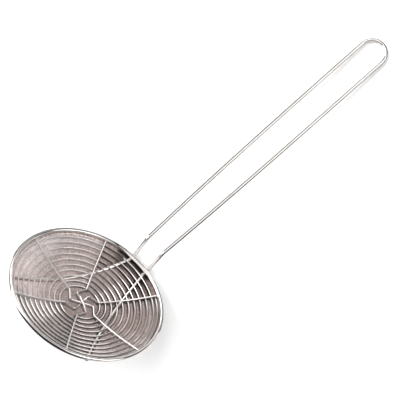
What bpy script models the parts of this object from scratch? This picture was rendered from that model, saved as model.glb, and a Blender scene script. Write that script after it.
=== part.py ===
# Round wire skimmer: a wire hoop, a dished woven screen, a flat spiral wire over
# the screen, three kinked cross wires over the spiral, and one long handle wire
# whose two ends run on under the screen as bearers.
#
# Lengths are in metres. The bowl frame has its origin at the middle of the rim,
# +Y towards the handle and +Z out of the bowl. Angles around the bowl start at
# the handle and grow anticlockwise, seen from above. At the end the tool is
# tipped onto its heel, as it lies on a table: +Z is up and the table is Z = 0.

import math

import bmesh
import bpy
from mathutils import Vector

MM = 0.001

# Rim hoop
RIM_OUTER_DIAMETER = 160.0 * MM
RIM_WIRE = 4.0 * MM
RIM_STEPS = 72

# Bowl, measured on the middle surface of the screen
BOWL_DEPTH = 14.85 * MM
WELD_GAP = 0.3 * MM

# Woven screen, drawn as an open net with a hem
SCREEN_THICKNESS = 0.6 * MM
SCREEN_PITCH = 9.6 * MM
SCREEN_STRAND = 1.0 * MM
HEM_THICKNESS = 0.9 * MM
HEM_WIDTH = 3.2 * MM
HEM_STEPS = 96
SHARP_EDGE_ANGLE = 35.0

# Spiral wire
SPIRAL_WIRE = 1.4 * MM
SPIRAL_PITCH = 5.78 * MM
SPIRAL_INNER_RADIUS = 17.7 * MM
SPIRAL_RIM_ROOM = 0.8 * MM
SPIRAL_POINTS_PER_TURN = 24

# Cross wires
CROSS_WIRE = 1.6 * MM
CROSS_FIRST_ANGLE = -30.0
CROSS_COUNT = 3
KINK_OUTER_RADIUS = 18.0 * MM
KINK_INNER_RADIUS = 12.1 * MM
KINK_TURN = 40.0
KINK_BEND = 2.0 * MM
HUB_FLAT_RADIUS = 4.0 * MM
CROSS_SPOKE_STEPS = 8
CROSS_ARM_STEPS = 3

# Handle wire
HANDLE_WIRE = 3.8 * MM
FOOT_HALF_GAP = 10.2 * MM
BEARER_SPLAY = 0.22
BEARER_END_ANGLE = 132.4
BEARER_END_RADIUS = 74.0 * MM
BEARER_STEPS = 16
CRANK_LENGTH = 29.5 * MM
CRANK_ANGLE = 71.0
CRANK_TOP_HALF_GAP = 11.1 * MM
FOOT_BEND = 6.0 * MM
TOP_BEND = 8.0 * MM
SHAFT_LENGTH = 293.4 * MM
SHAFT_ANGLE = 37.6
SHAFT_STEPS = 8
LOOP_RADIUS = 14.2 * MM
LOOP_STEPS = 20
BEND_STEPS = 5

# Sizes that follow from the ones above
RIM_RADIUS = (RIM_OUTER_DIAMETER - RIM_WIRE) / 2
SPIRAL_OUTER_RADIUS = RIM_RADIUS - RIM_WIRE / 2 - SPIRAL_RIM_ROOM
SPIRAL_START_ANGLE = CROSS_FIRST_ANGLE + 240.0
SPIRAL_END_ANGLE = CROSS_FIRST_ANGLE + 360.0
SPIRAL_HEIGHT = SCREEN_THICKNESS / 2 + WELD_GAP + SPIRAL_WIRE / 2
CROSS_HEIGHT = SPIRAL_HEIGHT + SPIRAL_WIRE / 2 + WELD_GAP + CROSS_WIRE / 2
CROSS_END_RADIUS = RIM_RADIUS - RIM_WIRE / 2 - WELD_GAP
HUB_LOWEST_HEIGHT = SCREEN_THICKNESS / 2 + WELD_GAP + CROSS_WIRE / 2
BEARER_HEIGHT = -(HEM_THICKNESS / 2 + WELD_GAP + HANDLE_WIRE / 2)


def bowl_slope(radius):
    return 2 * BOWL_DEPTH * radius / RIM_RADIUS ** 2


def lift(radius, offset):
    # Rise that moves a point by offset along the normal of the bowl.
    return offset * math.hypot(1, bowl_slope(radius))


SCREEN_EDGE_DROP = lift(RIM_RADIUS, RIM_WIRE / 2 + WELD_GAP + HEM_THICKNESS / 2)


def bowl_height(radius, offset=0.0):
    # Height of the surface that lies offset above the middle of the screen.
    dish = BOWL_DEPTH * (1 - (radius / RIM_RADIUS) ** 2)
    return lift(radius, offset) - SCREEN_EDGE_DROP - dish


def around(radius, angle, height):
    turn = math.radians(angle)
    return Vector((-radius * math.sin(turn), radius * math.cos(turn), height))


def on_bowl(radius, angle, offset):
    return around(radius, angle, bowl_height(radius, offset))


def ease(share):
    return share * share * (3 - 2 * share)


def bend_arc(before, corner, after, radius, steps):
    # Points of the arc of this radius that rounds a corner, and its centre.
    arriving = (before - corner).normalized()
    leaving = (after - corner).normalized()
    half = arriving.angle(leaving) / 2
    reach = radius / math.tan(half)
    centre = corner + (arriving + leaving).normalized() * (radius / math.sin(half))
    first = corner + arriving * reach - centre
    last = corner + leaving * reach - centre
    sweep = first.angle(last)
    arc = []
    for step in range(steps + 1):
        part = step / steps * sweep
        arc.append(centre + (first * math.sin(sweep - part) + last * math.sin(part)) / math.sin(sweep))
    return arc, centre


def steel(name, colour, roughness):
    material = bpy.data.materials.new(name)
    material.use_nodes = True
    shader = material.node_tree.nodes["Principled BSDF"]
    shader.inputs["Base Color"].default_value = (*colour, 1)
    shader.inputs["Metallic"].default_value = 1.0
    shader.inputs["Roughness"].default_value = roughness
    material.diffuse_color = (*colour, 1)
    return material


def place(item, material, holder):
    item.data.materials.append(material)
    bpy.context.collection.objects.link(item)
    item.parent = holder
    return item


def wire(name, points, diameter, resolution, material, holder, closed=False):
    curve = bpy.data.curves.new(name, "CURVE")
    curve.dimensions = "3D"
    curve.bevel_depth = diameter / 2
    curve.bevel_resolution = resolution
    curve.use_fill_caps = not closed
    spline = curve.splines.new("POLY")
    spline.points.add(len(points) - 1)
    for knot, point in zip(spline.points, points):
        knot.co = (*point, 1)
    spline.use_cyclic_u = closed
    return place(bpy.data.objects.new(name, curve), material, holder)


def rim_points():
    return [around(RIM_RADIUS, 360 * step / RIM_STEPS, 0) for step in range(RIM_STEPS)]


def spiral_turns():
    # The coil starts and ends under a cross wire. Its last turn closes up to the
    # rim, and keeps at least half a pitch to the turn inside it.
    part_turn = (SPIRAL_END_ANGLE - SPIRAL_START_ANGLE) / 360
    room = SPIRAL_OUTER_RADIUS - SPIRAL_PITCH / 2 - SPIRAL_INNER_RADIUS
    return math.floor(room / SPIRAL_PITCH + 1 - part_turn) + part_turn


def spiral_points():
    turns = spiral_turns()
    last_turn_radius = SPIRAL_INNER_RADIUS + SPIRAL_PITCH * (turns - 1)
    count = round(turns * SPIRAL_POINTS_PER_TURN)
    points = []
    for step in range(count + 1):
        turn = turns * step / count
        if turn <= turns - 1:
            radius = SPIRAL_INNER_RADIUS + SPIRAL_PITCH * turn
        else:
            closing = turn - (turns - 1)
            radius = last_turn_radius + (SPIRAL_OUTER_RADIUS - last_turn_radius) * closing
        points.append(on_bowl(radius, SPIRAL_START_ANGLE + 360 * turn, SPIRAL_HEIGHT))
    return points


def least_gap(points, diameter, per_turn):
    # Smallest clear distance between turns of a coil, point against stretch.
    least = math.inf
    for index, point in enumerate(points):
        for other in range(index + per_turn // 2, len(points) - 1):
            start = points[other]
            along = points[other + 1] - start
            share = max(0, min(1, (point - start).dot(along) / along.length_squared))
            least = min(least, (point - start - along * share).length)
    return least - diameter


def cross_half(angle, hub_height):
    # One spoke from the rim in, its kink, and its arm up to the hub.
    spoke = []
    for step in range(CROSS_SPOKE_STEPS):
        share = step / CROSS_SPOKE_STEPS
        radius = CROSS_END_RADIUS + (KINK_OUTER_RADIUS - CROSS_END_RADIUS) * share
        spoke.append(on_bowl(radius, angle, CROSS_HEIGHT))
    outer = on_bowl(KINK_OUTER_RADIUS, angle, CROSS_HEIGHT)
    inner = on_bowl(KINK_INNER_RADIUS, angle + KINK_TURN, CROSS_HEIGHT)
    arm = []
    for step in range(1, CROSS_ARM_STEPS + 1):
        share = step / CROSS_ARM_STEPS
        radius = KINK_INNER_RADIUS + (HUB_FLAT_RADIUS - KINK_INNER_RADIUS) * share
        offset = CROSS_HEIGHT + (hub_height - CROSS_HEIGHT) * ease(share)
        arm.append(on_bowl(radius, angle + KINK_TURN, offset))
    outer_arc = bend_arc(spoke[-1], outer, inner, KINK_BEND, BEND_STEPS)[0]
    inner_arc = bend_arc(outer, inner, arm[0], KINK_BEND, BEND_STEPS)[0]
    return spoke + outer_arc + inner_arc + arm


def cross_points(index):
    angle = CROSS_FIRST_ANGLE - 180 / CROSS_COUNT * index
    hub_height = HUB_LOWEST_HEIGHT + (CROSS_WIRE + WELD_GAP) * index
    near = cross_half(angle, hub_height)
    far = [Vector((-point.x, -point.y, point.z)) for point in reversed(near)]
    return near + far


def bearer_points():
    # Right-hand bearer, from its end just inside the far rim to its crossing under
    # the near rim.
    end = around(BEARER_END_RADIUS, -BEARER_END_ANGLE, 0)
    start_y = math.sqrt(RIM_RADIUS ** 2 - FOOT_HALF_GAP ** 2)
    run = start_y - end.y
    points = []
    for step in range(BEARER_STEPS + 1):
        share = 1 - step / BEARER_STEPS
        straight = FOOT_HALF_GAP + BEARER_SPLAY * run * share
        x = straight + (end.x - FOOT_HALF_GAP - BEARER_SPLAY * run) * share ** 2
        y = start_y - run * share
        points.append(Vector((x, y, bowl_height(math.hypot(x, y), BEARER_HEIGHT))))
    return points


def foot_corner():
    # Where the line of the bearer, under the rim, meets the line of the crank,
    # which passes the rim on its outer side.
    rim_y = math.sqrt(RIM_RADIUS ** 2 - FOOT_HALF_GAP ** 2)
    bearer_angle = math.atan(bowl_slope(RIM_RADIUS))
    bearer_z = bowl_height(RIM_RADIUS, BEARER_HEIGHT)
    crank_angle = math.radians(CRANK_ANGLE)
    clear = (RIM_WIRE + HANDLE_WIRE) / 2 + WELD_GAP
    crank_y = rim_y + clear * math.sin(crank_angle)
    crank_z = -clear * math.cos(crank_angle)
    lead = (crank_z - bearer_z) * math.cos(crank_angle) - (crank_y - rim_y) * math.sin(crank_angle)
    reach = lead / math.sin(bearer_angle - crank_angle)
    y = rim_y + reach * math.cos(bearer_angle)
    z = bearer_z + reach * math.sin(bearer_angle)
    return Vector((FOOT_HALF_GAP, y, z))


def crank_top(foot):
    angle = math.radians(CRANK_ANGLE)
    y = foot.y + CRANK_LENGTH * math.cos(angle)
    z = foot.z + CRANK_LENGTH * math.sin(angle)
    return Vector((CRANK_TOP_HALF_GAP, y, z))


def shaft_direction():
    angle = math.radians(SHAFT_ANGLE)
    return Vector((0, math.cos(angle), math.sin(angle)))


def shaft_points(top):
    # The legs spread from the crank and run side by side from half way on.
    points = []
    for step in range(1, SHAFT_STEPS + 1):
        share = step / SHAFT_STEPS
        half_gap = LOOP_RADIUS - (LOOP_RADIUS - CRANK_TOP_HALF_GAP) * (1 - share) ** 3
        point = top + shaft_direction() * SHAFT_LENGTH * share
        point.x = half_gap
        points.append(point)
    return points


def loop_points(top):
    centre = top + shaft_direction() * SHAFT_LENGTH
    centre.x = 0
    points = []
    for step in range(1, LOOP_STEPS):
        angle = math.pi * step / LOOP_STEPS
        side = Vector((math.cos(angle), 0, 0))
        points.append(centre + (side + shaft_direction() * math.sin(angle)) * LOOP_RADIUS)
    return points


def handle_points():
    foot = foot_corner()
    top = crank_top(foot)
    bearer = bearer_points()
    shaft = shaft_points(top)
    foot_arc, foot_centre = bend_arc(bearer[-1], foot, top, FOOT_BEND, BEND_STEPS)
    top_arc = bend_arc(foot, top, shaft[0], TOP_BEND, BEND_STEPS)[0]
    right = bearer[:-1] + foot_arc + top_arc + shaft
    left = [Vector((-point.x, point.y, point.z)) for point in reversed(right)]
    loop = loop_points(top)
    return right + loop + left, foot_centre, loop[len(loop) // 2]


def net_mesh(name, radius):
    # Flat square net: a quad for each crossing and each strand between two.
    shape = bmesh.new()
    reach = math.ceil(radius / SCREEN_PITCH) + 1
    half = SCREEN_STRAND / 2
    edges = []
    for line in range(-reach, reach + 1):
        middle = (line + 0.5) * SCREEN_PITCH
        edges += [middle - half, middle + half]
    corners = [[shape.verts.new((x, y, 0)) for y in edges] for x in edges]
    for column in range(len(edges) - 1):
        for row in range(len(edges) - 1):
            if column % 2 and row % 2:
                continue
            near = math.hypot(min(abs(edges[column]), abs(edges[column + 1])),
                              min(abs(edges[row]), abs(edges[row + 1])))
            if near < radius + SCREEN_STRAND:
                shape.faces.new((corners[column][row], corners[column + 1][row],
                                 corners[column + 1][row + 1], corners[column][row + 1]))
    loose = [vert for vert in shape.verts if not vert.link_faces]
    bmesh.ops.delete(shape, geom=loose, context="VERTS")
    return thicken(shape, name, SCREEN_THICKNESS)


def thicken(shape, name, thickness):
    # Gives flat faces their thickness, half above and half below Z = 0.
    bmesh.ops.translate(shape, verts=shape.verts, vec=(0, 0, -thickness / 2))
    flat = bmesh.ops.extrude_face_region(shape, geom=shape.faces[:], use_keep_orig=True)
    raised = [item for item in flat["geom"] if isinstance(item, bmesh.types.BMVert)]
    bmesh.ops.translate(shape, verts=raised, vec=(0, 0, thickness))
    bmesh.ops.recalc_face_normals(shape, faces=shape.faces)
    mesh = bpy.data.meshes.new(name)
    shape.to_mesh(mesh)
    shape.free()
    return mesh


def ring_mesh(name, inner_radius, outer_radius, thickness, steps):
    shape = bmesh.new()
    rings = []
    for radius in (inner_radius, outer_radius):
        rings.append([shape.verts.new(around(radius, 360 * step / steps, 0)) for step in range(steps)])
    inner, outer = rings
    for step in range(steps):
        after = (step + 1) % steps
        shape.faces.new((outer[step], outer[after], inner[after], inner[step]))
    return thicken(shape, name, thickness)


def disc_mesh(name, radius, thickness, steps):
    shape = bmesh.new()
    shape.faces.new([shape.verts.new(around(radius, 360 * step / steps, 0)) for step in range(steps)])
    return thicken(shape, name, thickness)


def helper(name, mesh):
    item = bpy.data.objects.new(name, mesh)
    bpy.context.collection.objects.link(item)
    item.hide_render = True
    item.display_type = "WIRE"
    return item


def screen_mesh():
    # The net is trimmed round, joined to its hem while flat, and then dished.
    hem_inner = RIM_RADIUS - HEM_WIDTH
    trim_radius = RIM_RADIUS - HEM_WIDTH / 2
    net = helper("screen_net", net_mesh("screen_net", trim_radius))
    trim = helper("screen_trim", disc_mesh("screen_trim", trim_radius, HEM_THICKNESS * 4, HEM_STEPS))
    hem = helper("screen_hem", ring_mesh("screen_hem", hem_inner, RIM_RADIUS, HEM_THICKNESS, HEM_STEPS))
    for cutter, action in ((trim, "INTERSECT"), (hem, "UNION")):
        cut = net.modifiers.new(action.lower(), "BOOLEAN")
        cut.operation = action
        cut.object = cutter
        cut.solver = "EXACT"
    bpy.context.view_layer.update()
    flat = net.evaluated_get(bpy.context.evaluated_depsgraph_get())
    shape = bmesh.new()
    shape.from_mesh(bpy.data.meshes.new_from_object(flat))
    for item in (net, trim, hem):
        bpy.data.objects.remove(item)
    bmesh.ops.triangulate(shape, faces=shape.faces)
    for vert in shape.verts:
        vert.co.z = bowl_height(math.hypot(vert.co.x, vert.co.y), vert.co.z)
    mesh = bpy.data.meshes.new("mesh_screen")
    shape.to_mesh(mesh)
    shape.free()
    mesh.shade_smooth()
    mesh.set_sharp_from_angle(angle=math.radians(SHARP_EDGE_ANGLE))
    return mesh


def rest_on_table(holder, foot_centre, loop_end):
    # The tool lies on the bends at its heel and on the end of its loop. Both
    # are round, so the table is the line that touches two circles.
    reach = loop_end - foot_centre
    tilt = math.atan2(reach.z, reach.y) + math.asin(FOOT_BEND / math.hypot(reach.y, reach.z))
    sine = math.sin(tilt)
    cosine = math.cos(tilt)
    far_side = -RIM_RADIUS * cosine - RIM_WIRE / 2
    near_side = loop_end.y * cosine + loop_end.z * sine + HANDLE_WIRE / 2
    height = foot_centre.y * sine - foot_centre.z * cosine + FOOT_BEND + HANDLE_WIRE / 2
    holder.rotation_euler = (-tilt, 0, 0)
    holder.location = (0, -(far_side + near_side) / 2, height)
    return tilt


def build():
    for item in list(bpy.data.objects):
        bpy.data.objects.remove(item)
    holder = bpy.data.objects.new("bowl_frame", None)
    bpy.context.collection.objects.link(holder)

    bright = (0.78, 0.77, 0.75)
    place(bpy.data.objects.new("mesh_screen", screen_mesh()),
          steel("screen_steel", (0.50, 0.48, 0.46), 0.40), holder)
    wire("rim_hoop", rim_points(), RIM_WIRE, 4, steel("rim_steel", bright, 0.16), holder, closed=True)

    path, foot_centre, loop_end = handle_points()
    wire("handle_wire", path, HANDLE_WIRE, 4, steel("handle_steel", bright, 0.18), holder)

    spiral = spiral_points()
    wire("spiral_wire", spiral, SPIRAL_WIRE, 1, steel("spiral_steel", bright, 0.20), holder)
    gap = least_gap(spiral, SPIRAL_WIRE, SPIRAL_POINTS_PER_TURN)
    print("spiral wire: %.2f turns, least gap to itself %.2f mm" % (spiral_turns(), gap / MM))

    for index in range(CROSS_COUNT):
        name = "cross_wire_%d" % (index + 1)
        wire(name, cross_points(index), CROSS_WIRE, 2, steel(name + "_steel", bright, 0.20), holder)

    tilt = rest_on_table(holder, foot_centre, loop_end)
    print("rim plane tipped by %.2f degrees" % math.degrees(tilt))
    bpy.context.view_layer.update()


build()
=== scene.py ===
# Round wire skimmer on a white table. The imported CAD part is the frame, and each
# of its nodes gets a finer piece here: smooth drawn wires and a real woven screen,
# with the solder seams and weld spots that hold them together.
import math

import bpy
import numpy as np
from mathutils import Matrix


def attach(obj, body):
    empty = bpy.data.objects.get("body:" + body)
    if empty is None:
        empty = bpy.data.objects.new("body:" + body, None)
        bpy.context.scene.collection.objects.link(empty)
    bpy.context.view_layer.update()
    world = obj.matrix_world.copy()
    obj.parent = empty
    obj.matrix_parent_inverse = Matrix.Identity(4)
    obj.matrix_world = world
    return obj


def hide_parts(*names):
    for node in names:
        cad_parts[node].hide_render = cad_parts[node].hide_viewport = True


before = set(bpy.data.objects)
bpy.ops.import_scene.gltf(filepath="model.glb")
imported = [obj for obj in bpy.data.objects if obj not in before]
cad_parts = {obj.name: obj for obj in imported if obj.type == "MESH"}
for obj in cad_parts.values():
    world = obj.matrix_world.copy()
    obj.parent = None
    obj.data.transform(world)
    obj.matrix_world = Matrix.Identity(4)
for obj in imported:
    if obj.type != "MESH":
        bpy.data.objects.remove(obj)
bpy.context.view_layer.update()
print("frame loaded: %d nodes" % len(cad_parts))

mm = 0.001

# Lengths are in millimetres, in the bowl's own frame: its origin is the middle of
# the rim, +y points to the handle and +z out of the bowl. Angles round the bowl
# start at the handle and grow anticlockwise, seen from above. Only the stage at the
# end is in metres, in the part's frame.
# How the bowl lies on the table: its tilt in radians, and where its origin comes.
lying = dict(tilt=0.70331508, bowlY=-165.56199, bowlZ=56.73754)
contact = dict(weldGap=0.3)  # room between neighbouring wires, as in the solids
bowl = dict(rimRadius=78.0, rimWire=4.0, depth=14.85, hemThickness=0.9, screenThickness=0.6)


def onTable(points):
    # Turns points about x by the tilt, moves them to where the bowl lies, in metres.
    c = math.cos(lying["tilt"])
    s = math.sin(lying["tilt"])
    p = np.asarray(points, float)
    y = p[..., 1] * c + p[..., 2] * s + lying["bowlY"]
    z = p[..., 2] * c - p[..., 1] * s + lying["bowlZ"]
    return np.stack([p[..., 0], y, z], axis=-1) * mm


def unit(vectors):
    return vectors / np.linalg.norm(vectors, axis=-1, keepdims=True)


def eased(share):
    # A share from 0 to 1 that starts and ends softly.
    return share * share * (3 - 2 * share)


def polar(radius, degrees, height):
    turn = np.radians(degrees)
    across = -radius * np.sin(turn)
    along = radius * np.cos(turn)
    return np.stack(np.broadcast_arrays(across, along, height), axis=-1)


def bowlRise(radius, offset):
    # Rise that moves a point by offset along the normal: offset * sqrt(1 + slope^2).
    slope = 2 * bowl["depth"] * radius / bowl["rimRadius"] ** 2
    return offset * np.hypot(1, slope)


def bowlHeight(radius, offset=0.0):
    # Parabola through the screen's middle surface, hung under the rim wire.
    underRim = bowl["rimWire"] / 2 + contact["weldGap"] + bowl["hemThickness"] / 2
    dish = bowl["depth"] * (1 - (radius / bowl["rimRadius"]) ** 2)
    return bowlRise(radius, offset) - bowlRise(bowl["rimRadius"], underRim) - dish


def bowlNormal(x, y):
    # The parabola's gradient gives the normal (-dz/dx, -dz/dy, 1).
    k = 2 * bowl["depth"] / bowl["rimRadius"] ** 2
    return unit(np.stack([-k * x, -k * y, np.ones_like(x)], axis=-1))


def pieceFrom(name, verts, faces, uv, material, node):
    # Makes one smooth-shaded piece on the part's only body. A piece without a node
    # of its own replaces none.
    mesh = bpy.data.meshes.new(name)
    mesh.from_pydata(onTable(verts).tolist(), [], faces)
    mesh.uv_layers.new(name="wireMap").data.foreach_set("uv", uv.astype(np.float32).ravel())
    mesh.polygons.foreach_set("use_smooth", np.full(len(mesh.polygons), True))
    mesh.materials.append(material)
    mesh.update()
    piece = bpy.data.objects.new(name, mesh)
    bpy.context.scene.collection.objects.link(piece)
    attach(piece, "root")
    if node:
        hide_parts(node)
    print("made %s: %d faces" % (name, len(faces)))
    return piece


def setWearAndShade(piece, values):
    # One number at each corner of the mesh, which the material reads: 1 is plain metal;
    # lower is painted shade on the spiral, screen and hem, and wear on the cross wires.
    wearAndShade = piece.data.attributes.new("wearAndShade", "FLOAT", "POINT")
    wearAndShade.data.foreach_set("value", np.asarray(values, np.float32))


def patch(x, y, p):
    # 1 inside the reach less the fade, 0 outside the reach, by distance from the middle.
    return eased(np.clip((p["reach"] - np.hypot(x - p["x"], y - p["y"])) / p["fade"], 0, 1))


def ringFaces(rings, sides, closed):
    # Quads between neighbouring rings, wound so that they face outwards.
    spans = rings if closed else rings - 1
    i = np.arange(spans)[:, None]
    j = np.arange(sides)[None, :]
    here = i * sides
    ahead = (i + 1) % rings * sides
    turn = (j + 1) % sides
    return np.stack([here + j, ahead + j, ahead + turn, here + turn], axis=-1).reshape(-1, 4)


def sweptWire(path, up, radius, sides, closed=False):
    # Ring = path point + radius * (cos(a) * side + sin(a) * top), where side and
    # top are square to the path. UV runs along the wire and round it, in mm.
    ahead = np.roll(path, -1, 0) - np.roll(path, 1, 0) if closed else np.gradient(path, axis=0)
    along = unit(ahead)
    side = unit(np.cross(along, up))
    top = np.cross(side, along)
    turn = 2 * np.pi * np.arange(sides) / sides
    circle = np.cos(turn)[None, :, None] * side[:, None] + np.sin(turn)[None, :, None] * top[:, None]
    size = np.broadcast_to(np.asarray(radius, float), len(path))
    verts = (path[:, None] + circle * size[:, None, None]).reshape(-1, 3)
    quads = ringFaces(len(path), sides, closed)
    step = np.linalg.norm(np.diff(path, axis=0, append=path[:1]), axis=1)
    length = np.concatenate([[0], np.cumsum(step)])
    spans = len(path) if closed else len(path) - 1
    u0 = np.repeat(length[:spans], sides)
    u1 = np.repeat(length[1:spans + 1], sides)
    girth = 2 * np.pi * size.max() / sides
    v0 = np.tile(np.arange(sides), spans) * girth
    uv = np.stack([u0, v0, u1, v0, u1, v0 + girth, u0, v0 + girth], axis=-1).reshape(-1, 2)
    faces = quads.tolist()
    if not closed:
        last = (len(path) - 1) * sides
        faces.append(list(range(sides)))
        faces.append(list(range(last + sides - 1, last - 1, -1)))
        uv = np.vstack([uv, np.zeros((2 * sides, 2))])
    return verts, faces, uv


# Wire ends: rings over a chamfer, room to the next ring, and how far the arc goes.
wireEnds = dict(rings=5, room=1.2, arcShare=0.999)


def softEnds(path, radius, chamfer):
    # Wire radius along the path, drawn in over the last stretch like a cropped end.
    step = np.linalg.norm(np.diff(path, axis=0), axis=1)
    run = np.concatenate([[0], np.cumsum(step)])
    near = np.minimum(run, run[-1] - run)
    inset = np.clip(1 - near / chamfer, 0, 1)
    return radius - chamfer * (1 - np.sqrt(1 - inset ** 2 * wireEnds["arcShare"]))


def finerEnds(path, chamfer, both=True):
    # Adds points close to the ends of a path, so that a chamfer has its rings. With
    # both off the far end stays bare, to be joined to the next run.
    share = 1 - np.cos(np.linspace(0, np.pi / 2, wireEnds["rings"]))
    first = unit(path[1] - path[0])
    last = unit(path[-1] - path[-2])
    head = path[0] + first * (share[:-1, None] * chamfer)
    tail = path[-1] - last * (share[:-1, None] * chamfer)[::-1]
    keepHead = np.linalg.norm(path - path[0], axis=1) > chamfer * wireEnds["room"]
    keepTail = np.linalg.norm(path - path[-1], axis=1) > chamfer * wireEnds["room"]
    middle = path[keepHead & keepTail]
    return np.vstack([head, middle, tail] if both else [head, middle])


def makeMaterial(name):
    material = bpy.data.materials.new(name)
    material.use_nodes = True
    return material, material.node_tree.nodes["Principled BSDF"]


def addNode(tree, kind, settings=None, **inputs):
    # An input is named by its label, or n0, n1 and so on by its number.
    node = tree.nodes.new(kind)
    for key, value in (settings or {}).items():
        setattr(node, key, value)
    for key, value in inputs.items():
        socket = node.inputs[int(key[1:])] if key[0] == "n" and key[1:].isdigit() else node.inputs[key]
        if isinstance(value, bpy.types.NodeSocket):
            tree.links.new(value, socket)
        else:
            socket.default_value = value
    return node


def spread(tree, value, fromMin, fromMax, toMin, toMax, interpolation="LINEAR"):
    node = addNode(tree, "ShaderNodeMapRange", dict(interpolation_type=interpolation), Value=value)
    limits = {"From Min": fromMin, "From Max": fromMax, "To Min": toMin, "To Max": toMax}
    for socket, number in limits.items():
        node.inputs[socket].default_value = number
    return node.outputs["Result"]


def join(tree, operation, first, second):
    return addNode(tree, "ShaderNodeMath", dict(operation=operation), n0=first, n1=second).outputs[0]


# Metal: the span of a noise that counts, and the share below which painted shade is warmest.
metal = dict(noiseLow=0.3, noiseHigh=0.7, brightFrom=0.62, warmBelow=0.3, markHeight=0.02 * mm)


def drawnSteel(name, finish):
    # Bright drawn wire: fine die marks run along it, with broad soft patches of
    # duller and warmer metal. A finish with a shaded tone also darkens, warms and roughens the
    # metal where the piece's value falls from 1 to 0, broken up by specks: painted shade.
    material, shader = makeMaterial(name)
    tree = material.node_tree
    low = metal["noiseLow"]
    high = metal["noiseHigh"]
    uvMap = addNode(tree, "ShaderNodeUVMap", dict(uv_map="wireMap"))
    stretch = addNode(tree, "ShaderNodeMapping", Vector=uvMap.outputs["UV"],
                      Scale=(finish["markLength"], finish["markWidth"], 1))
    marks = addNode(tree, "ShaderNodeTexNoise", Vector=stretch.outputs["Vector"],
                    Scale=1.0, Detail=3.0, Roughness=0.6)
    place = addNode(tree, "ShaderNodeTexCoord")
    patches = addNode(tree, "ShaderNodeTexNoise", Vector=place.outputs["Object"],
                      Scale=finish["patchScale"], Detail=4.0, Roughness=0.55)
    tint = addNode(tree, "ShaderNodeValToRGB", Fac=patches.outputs["Fac"])
    tones = ((low, finish["dull"]), (metal["brightFrom"], finish["bright"]))
    for stop, (position, tone) in zip(tint.color_ramp.elements, tones):
        stop.position = position
        stop.color = (*tone, 1)
    colour = tint.outputs["Color"]
    rough = spread(tree, patches.outputs["Fac"], low, high, finish["roughDull"], finish["roughBright"])
    if "shadedTone" in finish:
        wearAndShade = addNode(tree, "ShaderNodeAttribute", dict(attribute_name="wearAndShade")).outputs["Fac"]
        specks = addNode(tree, "ShaderNodeTexNoise", Vector=place.outputs["Object"],
                         Scale=finish["speckScale"], Detail=2.0, Roughness=0.6)
        unshaded = spread(tree, wearAndShade, 0.0, finish["unshadedFrom"], finish["shadedTone"], 1.0)
        depth = finish["specks"]
        speckled = spread(tree, specks.outputs["Fac"], low, high, 1 - depth, 1 + depth)
        share = join(tree, "MULTIPLY", unshaded, speckled)
        shares = addNode(tree, "ShaderNodeCombineXYZ", X=share)
        for channel, warmth in (("Y", finish["shadeGreen"]), ("Z", finish["shadeBlue"])):
            warmer = spread(tree, share, metal["warmBelow"], 1.0, warmth, 1.0)
            tree.links.new(join(tree, "MULTIPLY", share, warmer), shares.inputs[channel])
        colour = addNode(tree, "ShaderNodeVectorMath", dict(operation="MULTIPLY"),
                         n0=colour, n1=shares.outputs["Vector"]).outputs["Vector"]
        rough = join(tree, "ADD", rough, spread(tree, wearAndShade, 0.0, 1.0, finish["roughWearAndShade"], 0.0))
    tree.links.new(colour, shader.inputs["Base Color"])
    tree.links.new(rough, shader.inputs["Roughness"])
    bump = addNode(tree, "ShaderNodeBump", Height=marks.outputs["Fac"],
                   Strength=finish["markDepth"], Distance=metal["markHeight"])
    tree.links.new(bump.outputs["Normal"], shader.inputs["Normal"])
    shader.inputs["Metallic"].default_value = 1.0
    return material


brightWire = dict(bright=(0.90, 0.865, 0.85), dull=(0.78, 0.735, 0.715),
                  roughBright=0.05, roughDull=0.11,
                  patchScale=45.0, markLength=0.25, markWidth=9.0, markDepth=0.06)
# The spiral's and the screen's shaded tones are painted shade; the cross wires keep their colour and only
# roughen where worn.
spiralFinish = dict(brightWire, shadedTone=0.22, roughWearAndShade=1.0, specks=0.06, speckScale=300.0,
                    unshadedFrom=0.6, shadeGreen=0.84, shadeBlue=0.78)
screenWire = dict(bright=(0.81, 0.67, 0.64), dull=(0.65, 0.53, 0.50), roughBright=0.28, roughDull=0.42,
                  patchScale=90.0, markLength=0.6, markWidth=14.0, markDepth=0.25,
                  shadedTone=0.02, roughWearAndShade=0.2, specks=0.40, speckScale=520.0,
                  unshadedFrom=1.0, shadeGreen=0.85, shadeBlue=0.81)
hemMetal = dict(screenWire, bright=(0.74, 0.665, 0.645), dull=(0.60, 0.535, 0.515))
crossFinish = dict(brightWire, shadedTone=1.0, roughWearAndShade=0.38, specks=0.05, speckScale=300.0,
                   unshadedFrom=1.0, shadeGreen=1.0, shadeBlue=1.0)
solderMetal = dict(brightWire, bright=(0.94, 0.91, 0.90), roughBright=0.20, roughDull=0.32)
weldMetal = dict(bright=(0.78, 0.76, 0.73), dull=(0.55, 0.50, 0.45), roughBright=0.22, roughDull=0.40,
                 patchScale=400.0, markLength=2.0, markWidth=2.0, markDepth=0.5)

rimSteel = drawnSteel("rimSteel", brightWire)
handleSteel = drawnSteel("handleSteel", brightWire)
spiralSteel = drawnSteel("spiralSteel", spiralFinish)
crossSteel = drawnSteel("crossSteel", crossFinish)
screenSteel = drawnSteel("screenSteel", screenWire)
hemSteel = drawnSteel("hemSteel", hemMetal)
solderSteel = drawnSteel("solderSteel", solderMetal)
weldSteel = drawnSteel("weldSteel", weldMetal)
print("materials made")


# Rim hoop: a torus of thick wire.
rimHoop = dict(rings=360, sides=32)


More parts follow.
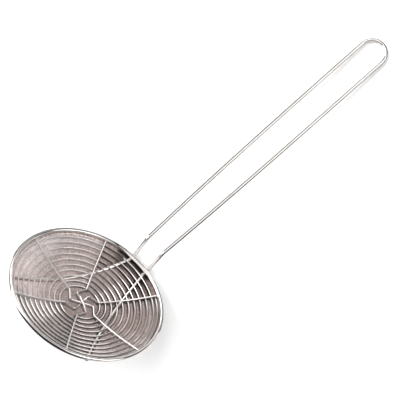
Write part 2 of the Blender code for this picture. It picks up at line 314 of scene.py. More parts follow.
def makeRimHoop():
    # Circle of the rim's radius, carried round as a closed swept wire.
    angle = 360 * np.arange(rimHoop["rings"]) / rimHoop["rings"]
    path = polar(bowl["rimRadius"], angle, 0.0)
    up = np.tile([0.0, 0.0, 1.0], (len(path), 1))
    verts, faces, uv = sweptWire(path, up, bowl["rimWire"] / 2, rimHoop["sides"], closed=True)
    pieceFrom("rimHoop", verts, faces, uv, rimSteel, "rim_hoop")


makeRimHoop()


# Handle wire: bearer leg, bend, crank, bend, shaft leg and loop, and back mirrored.
handleWire = dict(
    wire=3.8, footHalfGap=10.2, bearerSplay=0.22, bearerEndAngle=132.4, bearerEndRadius=74.0,
    crankLength=29.5, crankAngle=71.0, topHalfGap=11.1, footBend=6.0, topBend=8.0,
    shaftLength=293.4, shaftAngle=37.6, loopRadius=14.2, sides=28, endChamfer=0.5,
    bearerSteps=90, bendSteps=16, shaftSteps=60, loopSteps=50,
)


def roundedCorner(before, corner, after, radius, count):
    # Arc of the bend radius that touches both runs, by turning the first spoke
    # of its circle into the last one.
    arriving = unit(before - corner)
    leaving = unit(after - corner)
    half = math.acos(np.clip(arriving @ leaving, -1, 1)) / 2
    centre = corner + unit(arriving + leaving) * radius / math.sin(half)
    reach = radius / math.tan(half)
    first = corner + arriving * reach - centre
    last = corner + leaving * reach - centre
    sweep = math.pi - 2 * half
    part = np.linspace(0, sweep, count)[:, None]
    return centre + (first * np.sin(sweep - part) + last * np.sin(part)) / math.sin(sweep)


def bearerPath():
    # From the end inside the far rim to the crossing under the near rim. Seen from
    # above, x is a straight splay plus a square-law bow towards the far end.
    h = handleWire
    end = polar(h["bearerEndRadius"], -h["bearerEndAngle"], 0.0)
    startY = math.sqrt(bowl["rimRadius"] ** 2 - h["footHalfGap"] ** 2)
    run = startY - end[1]
    share = np.linspace(1, 0, h["bearerSteps"])
    bow = end[0] - h["footHalfGap"] - h["bearerSplay"] * run
    x = h["footHalfGap"] + h["bearerSplay"] * run * share + bow * share ** 2
    y = startY - run * share
    under = -(bowl["hemThickness"] / 2 + contact["weldGap"] + h["wire"] / 2)
    return np.stack([x, y, bowlHeight(np.hypot(x, y), under)], axis=-1)


def bearerAcross(y):
    # Half the distance between the two bearers, at y along the bowl.
    bearer = bearerPath()
    return np.interp(y, bearer[:, 1], bearer[:, 0])


def footCorner(nearRim):
    # Meeting point, seen from the side, of the bearer's line and the crank's
    # line, which passes the rim wire on its outer side.
    h = handleWire
    slope = math.atan(2 * bowl["depth"] / bowl["rimRadius"])
    crank = math.radians(h["crankAngle"])
    clear = (bowl["rimWire"] + h["wire"]) / 2 + contact["weldGap"]
    dy = clear * math.sin(crank)
    dz = -clear * math.cos(crank) - nearRim[2]
    reach = (dz * math.cos(crank) - dy * math.sin(crank)) / math.sin(slope - crank)
    return nearRim + np.array([0, reach * math.cos(slope), reach * math.sin(slope)])


def handlePath():
    # The shaft's legs open towards the loop by a cube law, so that they meet it
    # straight. At each point up is square to the wire and to x.
    h = handleWire
    bearer = bearerPath()
    foot = footCorner(bearer[-1])
    crank = math.radians(h["crankAngle"])
    top = foot + h["crankLength"] * np.array([0, math.cos(crank), math.sin(crank)])
    top[0] = h["topHalfGap"]
    rise = math.radians(h["shaftAngle"])
    shaftWay = np.array([0, math.cos(rise), math.sin(rise)])
    share = np.linspace(0, 1, h["shaftSteps"])[1:, None]
    shaft = top + shaftWay * h["shaftLength"] * share
    shaft[:, 0] = h["loopRadius"] - (h["loopRadius"] - h["topHalfGap"]) * (1 - share[:, 0]) ** 3
    footArc = roundedCorner(bearer[-1], foot, top, h["footBend"], h["bendSteps"])
    topArc = roundedCorner(foot, top, shaft[0], h["topBend"], h["bendSteps"])
    leg = finerEnds(bearer, h["endChamfer"], both=False)[:-1]
    right = np.vstack([leg, footArc, topArc, shaft[1:]])
    alongRight = unit(np.gradient(right, axis=0))
    upRight = unit(np.cross(np.array([1.0, 0, 0]), alongRight))
    turn = np.linspace(0, math.pi, h["loopSteps"])[1:-1, None]
    loopCentre = top * [0, 1, 1] + shaftWay * h["shaftLength"]
    side = np.array([1.0, 0, 0])
    loop = loopCentre + (side * np.cos(turn) + shaftWay * np.sin(turn)) * h["loopRadius"]
    upLoop = np.tile(np.cross(side, shaftWay), (len(loop), 1))
    mirror = np.array([-1.0, 1, 1])
    path = np.vstack([right, loop, (right * mirror)[::-1]])
    up = np.vstack([upRight, upLoop, (upRight * mirror)[::-1]])
    return path, up


def makeHandleWire():
    path, up = handlePath()
    radius = softEnds(path, handleWire["wire"] / 2, handleWire["endChamfer"])
    verts, faces, uv = sweptWire(path, up, radius, handleWire["sides"])
    pieceFrom("handleWire", verts, faces, uv, handleSteel, "handle_wire")


makeHandleWire()


# Spiral wire: lies on the screen, from the hub out to the rim. Its shade angles, unshaded
# shares and shade patch set the painted shade on its turns.
spiralWire = dict(wire=1.4, pitch=5.78, innerRadius=17.7, rimRoom=0.8, startAngle=210.0,
                  endAngle=330.0, pointsPerTurn=110, sides=14, endChamfer=0.25,
                  shadeAngles=(0, 30, 38, 70, 90, 147, 150, 360),
                  unshadedAtAngles=(1, 1, 0.8, 0.8, 0.45, 0.45, 1, 1),
                  shadePatch=dict(x=58.0, y=38.0, reach=42.0, fade=30.0, depth=0.7), heelAngle=30.0)
spiralOffset = bowl["screenThickness"] / 2 + contact["weldGap"] + spiralWire["wire"] / 2


def spiralTurns():
    # Whole turns that fit between hub and rim, plus the part turn to the last spoke.
    s = spiralWire
    outer = bowl["rimRadius"] - bowl["rimWire"] / 2 - s["rimRoom"]
    partTurn = (s["endAngle"] - s["startAngle"]) / 360
    room = outer - s["pitch"] / 2 - s["innerRadius"]
    return math.floor(room / s["pitch"] + 1 - partTurn) + partTurn, outer


def spiralRadius(turn):
    # Steady pitch, then a last turn that closes up to the rim.
    turns, outer = spiralTurns()
    steady = spiralWire["innerRadius"] + spiralWire["pitch"] * np.minimum(turn, turns - 1)
    closing = np.clip(turn - (turns - 1), 0, 1)
    lastSteady = spiralWire["innerRadius"] + spiralWire["pitch"] * (turns - 1)
    return steady + (outer - lastSteady) * closing


def makeSpiralWire():
    s = spiralWire
    turns = spiralTurns()[0]
    turn = np.linspace(0, turns, round(turns * s["pointsPerTurn"]) + 1)
    radius = spiralRadius(turn)
    path = polar(radius, s["startAngle"] + 360 * turn, bowlHeight(radius, spiralOffset))
    path = finerEnds(path, s["endChamfer"])
    up = bowlNormal(path[:, 0], path[:, 1])
    size = softEnds(path, s["wire"] / 2, s["endChamfer"])
    verts, faces, uv = sweptWire(path, up, size, s["sides"])
    piece = pieceFrom("spiralWire", verts, faces, uv, spiralSteel, "spiral_wire")
    # Painted shade: the turns are darkened and roughened on the left side and in one patch
    # on the right, and painted dark at the heel beyond the left bearer.
    angle = np.degrees(np.arctan2(-path[:, 0], path[:, 1])) % 360
    unshaded = np.interp(angle, s["shadeAngles"], s["unshadedAtAngles"])
    unshaded = unshaded * (1 - s["shadePatch"]["depth"] * patch(path[:, 0], path[:, 1], s["shadePatch"]))
    past = -path[:, 0] - bearerAcross(path[:, 1])
    unshaded = unshaded * np.where(angle < s["heelAngle"], 1 - np.clip(past, 0, 1), 1)
    setWearAndShade(piece, np.repeat(unshaded, s["sides"]))


makeSpiralWire()


# Cross wires: straight spokes that kink near the hub and cross there, one over another.
crossWires = dict(wire=1.6, firstAngle=-30.0, count=3, kinkOuter=18.0, kinkInner=12.1, kinkTurn=40.0,
                  kinkBend=2.0, hubFlat=4.0, sides=18, endChamfer=0.3,
                  spokeSteps=40, kinkSteps=10, armSteps=16,
                  satinAngle=150.0, satinFrom=16.0, satinTo=22.0)
crossOffset = spiralOffset + (spiralWire["wire"] + crossWires["wire"]) / 2 + contact["weldGap"]


def crossPath(index):
    # Half a wire from the rim to the hub; the other half is the same turned by 180 degrees.
    c = crossWires
    angle = c["firstAngle"] - 180 / c["count"] * index
    lowest = bowl["screenThickness"] / 2 + contact["weldGap"] + c["wire"] / 2
    hub = lowest + (c["wire"] + contact["weldGap"]) * index
    rimEnd = bowl["rimRadius"] - bowl["rimWire"] / 2 - contact["weldGap"]
    radius = np.linspace(rimEnd, c["kinkOuter"], c["spokeSteps"])[:-1]
    spoke = polar(radius, angle, bowlHeight(radius, crossOffset))
    outer = polar(c["kinkOuter"], angle, bowlHeight(c["kinkOuter"], crossOffset))
    inner = polar(c["kinkInner"], angle + c["kinkTurn"], bowlHeight(c["kinkInner"], crossOffset))
    share = np.linspace(0, 1, c["armSteps"])[1:]
    armRadius = c["kinkInner"] + (c["hubFlat"] - c["kinkInner"]) * share
    offset = crossOffset + (hub - crossOffset) * eased(share)
    arm = polar(armRadius, angle + c["kinkTurn"], bowlHeight(armRadius, offset))
    outerArc = roundedCorner(spoke[-1], outer, inner, c["kinkBend"], c["kinkSteps"])
    innerArc = roundedCorner(outer, inner, arm[1], c["kinkBend"], c["kinkSteps"])
    half = np.vstack([spoke, outerArc, innerArc, arm[2:]])
    return np.vstack([finerEnds(half, c["endChamfer"], both=False), (half * [-1, -1, 1])[::-1]])


def makeCrossWire(index):
    c = crossWires
    path = crossPath(index)
    up = bowlNormal(path[:, 0], path[:, 1])
    size = softEnds(path, c["wire"] / 2, c["endChamfer"])
    verts, faces, uv = sweptWire(path, up, size, c["sides"])
    name = "crossWire%d" % (index + 1)
    piece = pieceFrom(name, verts, faces, uv, crossSteel, "cross_wire_%d" % (index + 1))
    # One spoke is worn to a satin.
    turn = math.radians(c["satinAngle"])
    along = path[:, 1] * math.cos(turn) - path[:, 0] * math.sin(turn)
    aside = np.abs(path[:, 0] * math.cos(turn) + path[:, 1] * math.sin(turn))
    worn = np.interp(along, (c["satinFrom"], c["satinTo"]), (0.0, 1.0)) * (aside < c["wire"])
    setWearAndShade(piece, np.repeat(1 - worn, c["sides"]))


for number in range(crossWires["count"]):
    makeCrossWire(number)


# Solder seams, assumed: bright metal along both bearers, level with the weave's top.
solderSeams = dict(width=3.6, top=0.60, sides=24, reach=77.0, endChamfer=0.9)


def makeSolderSeam(name, hand):
    # The bearer's own path, raised so that the top of a round seam reaches the
    # height of the weave's top, and ended under the rim at the near end.
    s = solderSeams
    path = bearerPath()[::-1]
    reach = np.hypot(path[:, 0], path[:, 1])
    path = path[reach < s["reach"]]
    reach = np.hypot(path[:, 0], path[:, 1])
    path = np.column_stack([path[:, :2], bowlHeight(reach, s["top"] - s["width"] / 2)]) * [hand, 1, 1]
    path = finerEnds(path, s["endChamfer"])
    up = bowlNormal(path[:, 0], path[:, 1])
    size = softEnds(path, s["width"] / 2, s["endChamfer"])
    verts, faces, uv = sweptWire(path, up, size, s["sides"])
    pieceFrom(name, verts, faces, uv, solderSteel, None)


makeSolderSeam("solderSeamRight", 1)
makeSolderSeam("solderSeamLeft", -1)


# Woven screen: a plain weave of fine wire in the dish, two halves each way, and a hem.
screen = dict(
    pitch=1.3, wire=0.54, sides=6, edgeRadius=77.4,
    hemInner=75.4, hemSteps=240, hemBend=7, hemMarks=(2.0, 0.5),
    # The shade, hub, bearer, heel and side values set the screen's painted shade.
    shadeFull=0.75, shadeReach=1.25, hubRoom=1.15, bearerSlant=0.93, noWire=99.0,
    bearerLine=1.1, bearerLineDepth=0.95, sideFade=0.22, sideSpan=1.6,
    heelFrom=53.0, heelFull=69.0, heelWide=8.0, heelSoft=5.0, heelDepth=0.95,
)
# Round patches of less painted shade, on both sides, and of more painted shade, at the
# heel, round the hub and at the far right: middle, reach, fade and depth.
unshadedPatches = (
    dict(x=-55.0, y=-15.0, reach=52.0, fade=22.0, depth=0.93),
    dict(x=-38.0, y=46.0, reach=44.0, fade=28.0, depth=0.7),
    dict(x=55.0, y=20.0, reach=40.0, fade=26.0, depth=0.5),
)
darkPatches = (
    dict(x=3.0, y=81.0, reach=16.0, fade=8.0, depth=0.97),
    dict(x=-16.0, y=74.0, reach=12.0, fade=6.0, depth=0.75),
    dict(x=15.0, y=70.0, reach=34.0, fade=24.0, depth=0.34),
    dict(x=8.0, y=-8.0, reach=40.0, fade=26.0, depth=0.20),
    dict(x=31.0, y=-54.0, reach=28.0, fade=22.0, depth=0.45),
)


def fromStretch(x, y, start, end):
    # Distance to the nearest point of the straight stretch between two corners.
    run = end - start
    share = np.clip(((x - start[0]) * run[0] + (y - start[1]) * run[1]) / (run @ run), 0, 1)
    return np.hypot(x - start[0] - share * run[0], y - start[1] - share * run[1])


def fromWires(x, y):
    # Distance of points on the screen from the nearest edge of a wire: the turns by
    # radius, the spokes across their lines, and the bearers across x, shortened by
    # their slant.
    radius = np.hypot(x, y)
    turns = spiralTurns()[0]
    first = (np.degrees(np.arctan2(-x, y)) - spiralWire["startAngle"]) / 360 % 1
    nearest = np.full(x.shape, screen["noWire"])
    for lap in range(math.ceil(turns)):
        turn = first + lap
        gap = np.abs(radius - spiralRadius(turn)) - spiralWire["wire"] / 2
        nearest = np.where(turn <= turns, np.minimum(nearest, gap), nearest)
    c = crossWires
    for spoke in range(2 * c["count"]):
        angle = c["firstAngle"] + 180 / c["count"] * spoke
        corners = polar(np.array([bowl["rimRadius"], c["kinkOuter"], c["kinkInner"], 0.0]),
                        angle + c["kinkTurn"] * np.array([0, 0, 1, 1]), 0.0)[:, :2]
        for start, end, room in zip(corners[:-1], corners[1:], (0, screen["hubRoom"], screen["hubRoom"])):
            nearest = np.minimum(nearest, fromStretch(x, y, start, end) - c["wire"] / 2 + room)
    off = np.abs(np.abs(x) - bearerAcross(y)) * screen["bearerSlant"]
    gap = np.where(y > bearerPath()[0, 1], off - handleWire["wire"] / 2, screen["noWire"])
    return np.minimum(nearest, gap)


def paintedScreenShade(x, y):
    # Painted shade, 1 where there is none: darker beside the wires and at the heel, while the
    # unshaded patches stay almost free of it. A thin painted shadow follows the left bearer's
    # inner side, at the heel a painted shadow band lies right of each bearer, and the screen darkens
    # towards the right.
    s = screen
    beside = np.clip((fromWires(x, y) - s["shadeFull"]) / (s["shadeReach"] - s["shadeFull"]), 0, 1)
    for unshaded in unshadedPatches:
        beside = beside + (1 - beside) * unshaded["depth"] * patch(x, y, unshaded)
    for dark in darkPatches:
        beside = beside * (1 - dark["depth"] * patch(x, y, dark))
    inside = bearerAcross(y) + x - handleWire["wire"] / 2
    line = np.clip(1 - np.abs(inside / s["bearerLine"] - 1), 0, 1) * ((x < 0) & (y < 0))
    beside = beside * (1 - s["bearerLineDepth"] * line)
    heel = np.clip((y - s["heelFrom"]) / (s["heelFull"] - s["heelFrom"]), 0, 1)
    for hand in (-1, 1):
        aside = x - hand * bearerAcross(y) - handleWire["wire"] / 2
        band = (aside > 0) * np.clip((s["heelWide"] - aside) / s["heelSoft"], 0, 1)
        beside = beside * (1 - s["heelDepth"] * heel * band)
    rightShare = np.clip(0.5 + x / bowl["rimRadius"] / s["sideSpan"], 0, 1)
    return beside * (1 - s["sideFade"] * rightShare)


def makeScreenHalf(name, alongX, high):
    # Wire k lies at k + 1/2 pitches and waves over and under the wires across it:
    # height = wire radius * sin(pi * run / pitch), with the sign changing from
    # wire to wire and between the two ways.
    s = screen
    reach = math.ceil(s["edgeRadius"] / s["pitch"]) + 1
    lines = np.arange(0, reach) if high else np.arange(-reach, 0)
    place = (lines + 0.5) * s["pitch"]
    run = np.arange(-2 * reach, 2 * reach + 1) * s["pitch"] / 2
    across, along = np.meshgrid(place, run, indexing="ij")
    radial = np.hypot(across, along)
    sign = np.where(lines % 2 == 0, 1.0, -1.0)[:, None] * (1 if alongX else -1)
    wave = s["wire"] / 2 * sign * np.sin(np.pi * along / s["pitch"])
    x, y = (along, across) if alongX else (across, along)
    path = np.stack([x, y, bowlHeight(radial, wave)], axis=-1)
    ahead = unit(np.gradient(path, axis=1))
    side = unit(np.cross(ahead, bowlNormal(x, y)))
    top = np.cross(side, ahead)
    turn = 2 * np.pi * np.arange(s["sides"]) / s["sides"]
    circle = (np.cos(turn)[:, None] * side[:, :, None] + np.sin(turn)[:, None] * top[:, :, None])
    rings = path[:, :, None] + circle * s["wire"] / 2
    inside = radial <= s["edgeRadius"]
    kept = inside.any(axis=1)
    rings, inside = rings[kept], inside[kept]
    count, points, sides = rings.shape[:3]
    spans = inside[:, :-1] & inside[:, 1:]
    line, point = np.nonzero(spans)
    here = ((line * points + point) * sides)[:, None]
    j = np.arange(sides)[None, :]
    turnOn = (j + 1) % sides
    ahead = here + sides
    quads = np.stack([here + j, ahead + j, ahead + turnOn, here + turnOn], axis=-1).reshape(-1, 4)
    first = inside.argmax(axis=1)
    last = points - 1 - inside[:, ::-1].argmax(axis=1)
    startCap = (np.arange(count) * points + first)[:, None] * sides + np.arange(sides)
    endCap = (np.arange(count) * points + last)[:, None] * sides + np.arange(sides)[::-1]
    used = np.unique(quads)
    renumber = np.zeros(count * points * sides, int)
    renumber[used] = np.arange(len(used))
    faces = renumber[quads].tolist() + renumber[np.vstack([startCap, endCap])].tolist()
    girth = np.pi * s["wire"] / sides
    u0 = np.repeat(run[point], sides)
    v0 = np.tile(np.arange(sides) * girth, len(point))
    u1 = u0 + s["pitch"] / 2
    uv = np.stack([u0, v0, u1, v0, u1, v0 + girth, u0, v0 + girth], axis=-1).reshape(-1, 2)
    uv = np.vstack([uv, np.zeros((2 * count * sides, 2))])
    verts = rings.reshape(-1, 3)[used]
    piece = pieceFrom(name, verts, faces, uv, screenSteel, "mesh_screen")
    # Painted shade on the weave, one value at each corner.
    setWearAndShade(piece, np.repeat(paintedScreenShade(x, y)[kept].ravel(), sides)[used])


def makeScreenHem():
    # Flat strip with round edges under the rim: a rounded slot profile carried
    # round the bowl.
    s = screen
    half = bowl["hemThickness"] / 2
    bend = np.linspace(-np.pi / 2, np.pi / 2, s["hemBend"])
    outerX = bowl["rimRadius"] - half + half * np.cos(bend)
    innerX = s["hemInner"] + half - half * np.cos(bend)
    radius = np.concatenate([outerX, innerX[::-1]])
    offset = half * np.concatenate([np.sin(bend), np.sin(bend)[::-1]])
    angle = 360 * np.arange(s["hemSteps"]) / s["hemSteps"]
    height = bowlHeight(radius, offset)
    verts = polar(radius[None, :], angle[:, None], height[None, :]).reshape(-1, 3)
    sides = len(radius)
    faces = ringFaces(s["hemSteps"], sides, True)[:, ::-1]
    markAlong, markAcross = s["hemMarks"]
    uv = np.stack([faces // sides * markAlong, faces % sides * markAcross], axis=-1).reshape(-1, 2)
    piece = pieceFrom("screenHem", verts, faces.tolist(), uv, hemSteel, "mesh_screen")
    # The hem takes the painted shade more deeply than the weave does.
    setWearAndShade(piece, paintedScreenShade(verts[:, 0], verts[:, 1]) ** 2)


makeScreenHalf("screenWarpNear", True, True)
makeScreenHalf("screenWarpFar", True, False)
makeScreenHalf("screenWeftRight", False, True)
makeScreenHalf("screenWeftLeft", False, False)
makeScreenHem()


# Weld spots: small flattened beads of metal where the wires are joined.
weldSpots = dict(turnBead=(0.75, 0.7, 0.5), hubBead=(0.9, 0.9, 0.6), rimBead=(1.0, 1.0, 0.9),
                 legBead=(1.5, 1.2, 0.8), footBead=(1.4, 2.7, 0.6), footReach=75.6, rings=7, sides=10,
                 rimSink=0.2, hubLift=0.15, hubRadius=0.01, legLift=0.2, footLift=0.35, kinkRoom=1.0,
                 turnRoom=1e-6)


def spiralCrossings():
    # Where each spoke lies over a turn: the turn whose angle is the spoke's.
    turns = spiralTurns()[0]
    places = []
    for spoke in range(2 * crossWires["count"]):
        angle = crossWires["firstAngle"] - 180 / crossWires["count"] * spoke
        first = (angle - spiralWire["startAngle"]) / 360 % 1
        turn = np.arange(first, turns + weldSpots["turnRoom"], 1.0)
        radius = spiralRadius(turn)
        radius = radius[radius > crossWires["kinkOuter"] + weldSpots["kinkRoom"]]
        middle = spiralOffset + (spiralWire["wire"] + contact["weldGap"]) / 2
        places.append(polar(radius, angle, bowlHeight(radius, middle)))
    return np.vstack(places)


def beads(centres, size):
    # Ellipsoids stretched round the bowl, across it and up, with closed poles.
    w = weldSpots
    normal = bowlNormal(centres[:, 0], centres[:, 1])
    outward = unit(centres * [1, 1, 0])
    tangent = unit(np.cross(normal, outward))
    across = np.cross(tangent, normal)
    tilt = np.linspace(-np.pi / 2, np.pi / 2, w["rings"] + 2)[1:-1]
    turn = 2 * np.pi * np.arange(w["sides"]) / w["sides"]
    a = (np.cos(tilt)[:, None] * np.cos(turn)).ravel()
    b = (np.cos(tilt)[:, None] * np.sin(turn)).ravel()
    c = np.repeat(np.sin(tilt), w["sides"])
    local = np.vstack([np.stack([a, b, c], axis=-1), [[0, 0, -1], [0, 0, 1]]]) * size
    axes = np.stack([tangent, across, normal], axis=1)
    verts = centres[:, None] + np.einsum("vk,nkc->nvc", local, axes)
    rings, sides = w["rings"], w["sides"]
    body = ringFaces(rings, sides, False)[:, ::-1]
    j = np.arange(sides)
    k = (j + 1) % sides
    low = np.stack([k, j, np.full(sides, rings * sides)], axis=-1)
    highBase = (rings - 1) * sides
    high = np.stack([highBase + j, highBase + k, np.full(sides, rings * sides + 1)], axis=-1)
    one = body.tolist() + low.tolist() + high.tolist()
    return verts, one


def makeWeldSpots():
    # Beads at the crossings, at the hub, at the spokes' ends, over the bearers' far
    # ends and, as small fillets, where the bearers pass under the near rim.
    w = weldSpots
    rimEnd = bowl["rimRadius"] - bowl["rimWire"] / 2 - w["rimSink"]
    ends = 2 * crossWires["count"]
    spokes = crossWires["firstAngle"] + 360 / ends * np.arange(ends)
    rimSpots = polar(np.full(ends, rimEnd), spokes, bowlHeight(rimEnd, crossOffset) - w["rimSink"])
    lowest = bowl["screenThickness"] / 2 + contact["weldGap"] + crossWires["wire"]
    between = np.arange(crossWires["count"] - 1)
    hubHeights = lowest + (crossWires["wire"] + contact["weldGap"]) * between + w["hubLift"]
    hubSpots = polar(w["hubRadius"], np.zeros(len(between)), bowlHeight(w["hubRadius"], hubHeights))
    leg = bearerPath()[0] + [0, 0, handleWire["wire"] / 2 + w["legLift"]]
    legSpots = np.vstack([leg, leg * [-1, 1, 1]])
    reach = w["footReach"]
    footAngle = math.degrees(math.asin(handleWire["footHalfGap"] / reach))
    footSpots = polar(reach, np.array([footAngle, -footAngle]), bowlHeight(reach, w["footLift"]))
    groups = ((spiralCrossings(), "turnBead"), (hubSpots, "hubBead"), (rimSpots, "rimBead"),
              (legSpots, "legBead"), (footSpots, "footBead"))
    verts, faces = [], []
    total = 0
    for centres, kind in groups:
        points, one = beads(centres, np.array(w[kind]))
        for group in points:
            verts.append(group)
            faces += [[corner + total for corner in face] for face in one]
            total += len(group)
    uv = np.zeros((sum(len(face) for face in faces), 2))
    pieceFrom("weldSpots", np.vstack(verts), faces, uv, weldSteel, None)


makeWeldSpots()


# Camera: the photograph's view. right and back are its axes in the part's frame.
camera = dict(lens=186.0, sensor=36.0, distance=2000.0, bowlRight=-109.42, bowlUp=-90.61,
              right=(0.6677, 0.7368, -0.1062), back=(0.2532, -0.0906, 0.9632), clipEnd=100.0)


def makeCamera():
    # The camera stands so that the bowl's middle is at bowlRight, bowlUp from the
    # middle of the picture, in the plane at the given distance.
    back = unit(np.array(camera["back"]))
    right = np.array(camera["right"])
    right = unit(right - back * (right @ back))
    up = np.cross(back, right)
    middle = onTable(np.zeros(3))
    place = middle + (back * camera["distance"] - right * camera["bowlRight"] - up * camera["bowlUp"]) * mm
    data = bpy.data.cameras.new("photoView")
    data.lens = camera["lens"]
    data.sensor_width = camera["sensor"]
    data.clip_end = camera["clipEnd"]
    view = bpy.data.objects.new("photoView", data)
    bpy.context.scene.collection.objects.link(view)
    matrix = np.eye(4)
    matrix[:3, 0] = right
    matrix[:3, 1] = up
    matrix[:3, 2] = back
    matrix[:3, 3] = place
    view.matrix_world = Matrix(matrix.tolist())
    bpy.context.scene.camera = view


makeCamera()


# Table: one white sheet, with a tone for each kind of ray.
tableSheet = dict(
    size=6.0, thrown=0.80, mirrored=0.86, seen=1.12,
    shades=(dict(x=-0.012, y=-0.158, wide=0.080, deep=0.058, full=0.62, level=0.35),
            dict(x=0.013, y=-0.122, wide=0.030, deep=0.0130, full=0.55, level=0.25)),
)


def makeTable():
    # Two soft oval shades lie in its colour under the bowl.
    t = tableSheet
    half = t["size"] / 2
    mesh = bpy.data.meshes.new("whiteTable")
    corners = [(-half, -half, 0), (half, -half, 0), (half, half, 0), (-half, half, 0)]
    mesh.from_pydata(corners, [], [(0, 1, 2, 3)])
    material, shader = makeMaterial("whiteTable")
    tree = material.node_tree
    path = addNode(tree, "ShaderNodeLightPath")
    mirrored = spread(tree, path.outputs["Is Glossy Ray"], 0.0, 1.0, t["thrown"], t["mirrored"])
    seen = spread(tree, path.outputs["Is Camera Ray"], 0.0, 1.0, 0.0, t["seen"])
    place = addNode(tree, "ShaderNodeTexCoord").outputs["Object"]
    tone = join(tree, "MAXIMUM", mirrored, seen)
    for spot in t["shades"]:
        under = addNode(tree, "ShaderNodeMapping", Vector=place,
                        Location=(-spot["x"] / spot["wide"], -spot["y"] / spot["deep"], 0),
                        Scale=(1 / spot["wide"], 1 / spot["deep"], 0))
        away = addNode(tree, "ShaderNodeVectorMath", dict(operation="LENGTH"), n0=under.outputs["Vector"])
        shadow = spread(tree, away.outputs["Value"], spot["full"], 1.0, spot["level"], 1.0, "SMOOTHSTEP")
        tone = join(tree, "MULTIPLY", shadow, tone)
    diffuse = addNode(tree, "ShaderNodeBsdfDiffuse", Color=tone)
    tree.links.new(diffuse.outputs["BSDF"], tree.nodes["Material Output"].inputs["Surface"])
    tree.nodes.remove(shader)
    mesh.materials.append(material)
    table = bpy.data.objects.new("whiteTable", mesh)
    bpy.context.scene.collection.objects.link(table)


makeTable()


# Cards: strips that stand on the table. The ones round the rim are in the bowl's frame.
cards = dict(
    far=dict(x=(-0.034, 0.083), y=-0.236, top=0.36),
    rim=dict(radius=88.0, rise=9.0, steps=36,
             spans=dict(blackCardLeft=(14.0, 120.0), blackCardRight=(298.0, 346.0))),
    ribbon=dict(half=0.032, start=-0.102, turn=0.209, top=0.018, steps=25),
    lit=dict(ends=((-0.022, -0.1085), (0.021, -0.1085)), top=0.028, level=0.95),
    side=dict(ends=((-0.026, -0.1085), (-0.036, -0.101)), top=0.020),
)


def standingCard(name, path, top, level=0.0):
    # A strip of card that stands on the table along a path, where only the wires
    # see it: black ones draw the dark outlines along them, a lit one is white.
    low = np.column_stack([path, np.zeros(len(path))])
    high = np.column_stack([path, np.broadcast_to(top, len(path))])
    count = len(path)
    here = np.arange(count - 1)
    mesh = bpy.data.meshes.new(name)
    faces = np.stack([here, here + 1, here + 1 + count, here + count], axis=-1)
    mesh.from_pydata(np.vstack([low, high]).tolist(), [], faces.tolist())
    material, shader = makeMaterial(name)
    shader.inputs["Base Color"].default_value = (0.01, 0.01, 0.01, 1)
    shader.inputs["Roughness"].default_value = 0.9
    shader.inputs["Emission Color"].default_value = (1, 1, 1, 1)
    shader.inputs["Emission Strength"].default_value = level
    mesh.materials.append(material)
    card = bpy.data.objects.new(name, mesh)
    card.visible_camera = False
    card.visible_diffuse = False
    card.visible_shadow = False
    bpy.context.scene.collection.objects.link(card)


def makeCards():
    # One card beyond the far rim, two that follow the rim a little higher than it, and
    # a low ribbon bent round the handle: two straight runs joined by half a circle.
    far = cards["far"]
    standingCard("blackCardFar", np.array([[x, far["y"]] for x in far["x"]]), far["top"])
    rim = cards["rim"]
    for name, span in rim["spans"].items():
        ring = onTable(polar(rim["radius"], np.linspace(*span, rim["steps"]), rim["rise"]))
        standingCard(name, ring[:, :2], ring[:, 2])
    bent = cards["ribbon"]
    turn = np.linspace(0, np.pi, bent["steps"])
    arc = np.column_stack([np.cos(turn), np.sin(turn)]) * bent["half"] + [0, bent["turn"]]
    ribbon = np.vstack([[bent["half"], bent["start"]], arc, [-bent["half"], bent["start"]]])
    standingCard("blackCardRibbon", ribbon, bent["top"])
    # The cranks mirror a low white card over the near rim, with a black one at its end.
    lit = cards["lit"]
    standingCard("whiteCardCranks", np.array(lit["ends"]), lit["top"], lit["level"])
    side = cards["side"]
    standingCard("blackCardCrank", np.array(side["ends"]), side["top"])


makeCards()


# Tent: a way is a direction, and From and To, or start and full, are cosines to it.
tent = dict(
    softBoxes=(dict(way=(-0.67, -0.42, 0.61), start=0.90, full=0.95, level=4.5),
               dict(way=(-0.60, 0.58, 0.55), start=0.92, full=0.96, level=2.6),
               dict(way=(0.62, 0.52, 0.588), start=0.90, full=0.955, level=2.2)),
    ambient=0.20, ceiling=1.05, ceilingFrom=0.62, ceilingTo=0.80,
    nearTable=0.04, nearTableTo=0.28, nearTableLevel=0.03,
    darkWay=(0.03, -0.96, 0.26), darkFrom=0.78, darkTo=0.94, darkLevel=0.25,
    holeFrom=0.970, holeTo=0.985, holeLevel=0.15,
    stripWay=(0.0, 0.9989, -0.0471), stripMiddle=0.136, stripFull=0.09, stripNone=0.17,
    stripLevel=0.02, stripTop=0.60, stripTopNone=0.70,
    flagWay=(-0.9925, -0.1219, 0.0), flagFull=0.19, flagNone=0.27, flagLevel=0.6,
    flagFront=(-0.1219, 0.9925, 0.0), flagFrontFrom=0.28, flagFrontTo=0.40,
    edgeWay=(-0.60, 0.79, 0.12), edgeFrom=0.86, edgeTo=0.96, edgeLevel=0.9,
)


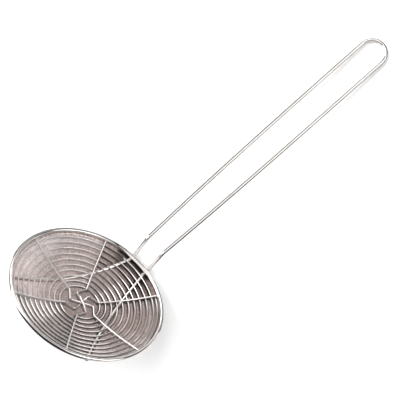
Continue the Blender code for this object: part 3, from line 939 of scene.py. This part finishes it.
def makeTent():
    # Level by direction: a dim room under a bright ceiling, with three round soft
    # boxes and a glow low at the edge. It is dark near the table, beyond the bowl and
    # at the lens, and a flag and a strip of shade cross it. The camera sees white.
    world = bpy.data.worlds.new("greyTent")
    world.use_nodes = True
    tree = world.node_tree
    ground = tree.nodes["Background"]
    way = addNode(tree, "ShaderNodeTexCoord").outputs["Generated"]

    def ramp(value, fromMin, fromMax, toMin, toMax):
        return spread(tree, value, fromMin, fromMax, toMin, toMax, "SMOOTHSTEP")

    def towards(direction):
        length = math.sqrt(sum(number * number for number in direction))
        target = [number / length for number in direction]
        node = addNode(tree, "ShaderNodeVectorMath", dict(operation="DOT_PRODUCT"), n0=way, n1=target)
        return node.outputs["Value"]

    def dimmed(light, value, fromMin, fromMax, toMin, toMax):
        return join(tree, "MULTIPLY", light, ramp(value, fromMin, fromMax, toMin, toMax))

    t = tent
    height = addNode(tree, "ShaderNodeSeparateXYZ", Vector=way).outputs["Z"]
    level = ramp(height, t["ceilingFrom"], t["ceilingTo"], t["ambient"], t["ceiling"])
    for box in t["softBoxes"]:
        glow = ramp(towards(box["way"]), box["start"], box["full"], 0.0, box["level"])
        level = join(tree, "ADD", level, glow)
    level = dimmed(level, height, t["nearTable"], t["nearTableTo"], t["nearTableLevel"], 1.0)
    level = dimmed(level, towards(t["darkWay"]), t["darkFrom"], t["darkTo"], 1.0, t["darkLevel"])
    level = dimmed(level, towards(camera["back"]), t["holeFrom"], t["holeTo"], 1.0, t["holeLevel"])
    edge = ramp(towards(t["edgeWay"]), t["edgeFrom"], t["edgeTo"], 0.0, t["edgeLevel"])
    level = join(tree, "ADD", level, edge)
    flag = join(tree, "ABSOLUTE", towards(t["flagWay"]), 0.0)
    flag = ramp(flag, t["flagFull"], t["flagNone"], t["flagLevel"], 1.0)
    behind = ramp(towards(t["flagFront"]), t["flagFrontFrom"], t["flagFrontTo"], 1.0, 0.0)
    level = join(tree, "MULTIPLY", level, join(tree, "MAXIMUM", flag, behind))
    aside = join(tree, "SUBTRACT", towards(t["stripWay"]), t["stripMiddle"])
    aside = join(tree, "ABSOLUTE", aside, 0.0)
    strip = ramp(aside, t["stripFull"], t["stripNone"], t["stripLevel"], 1.0)
    above = ramp(height, t["stripTop"], t["stripTopNone"], 0.0, 1.0)
    level = join(tree, "MULTIPLY", level, join(tree, "MAXIMUM", strip, above))
    backdrop = addNode(tree, "ShaderNodeLightPath").outputs["Is Camera Ray"]
    level = join(tree, "MULTIPLY", level, join(tree, "SUBTRACT", 1.0, backdrop))
    level = join(tree, "ADD", level, backdrop)
    tree.links.new(level, ground.inputs["Strength"])
    ground.inputs["Color"].default_value = (1, 1, 1, 1)
    bpy.context.scene.world = world


makeTent()
bpy.context.scene.view_settings.view_transform = "Standard"
print("camera, table and tent set")

bpy.context.view_layer.update()
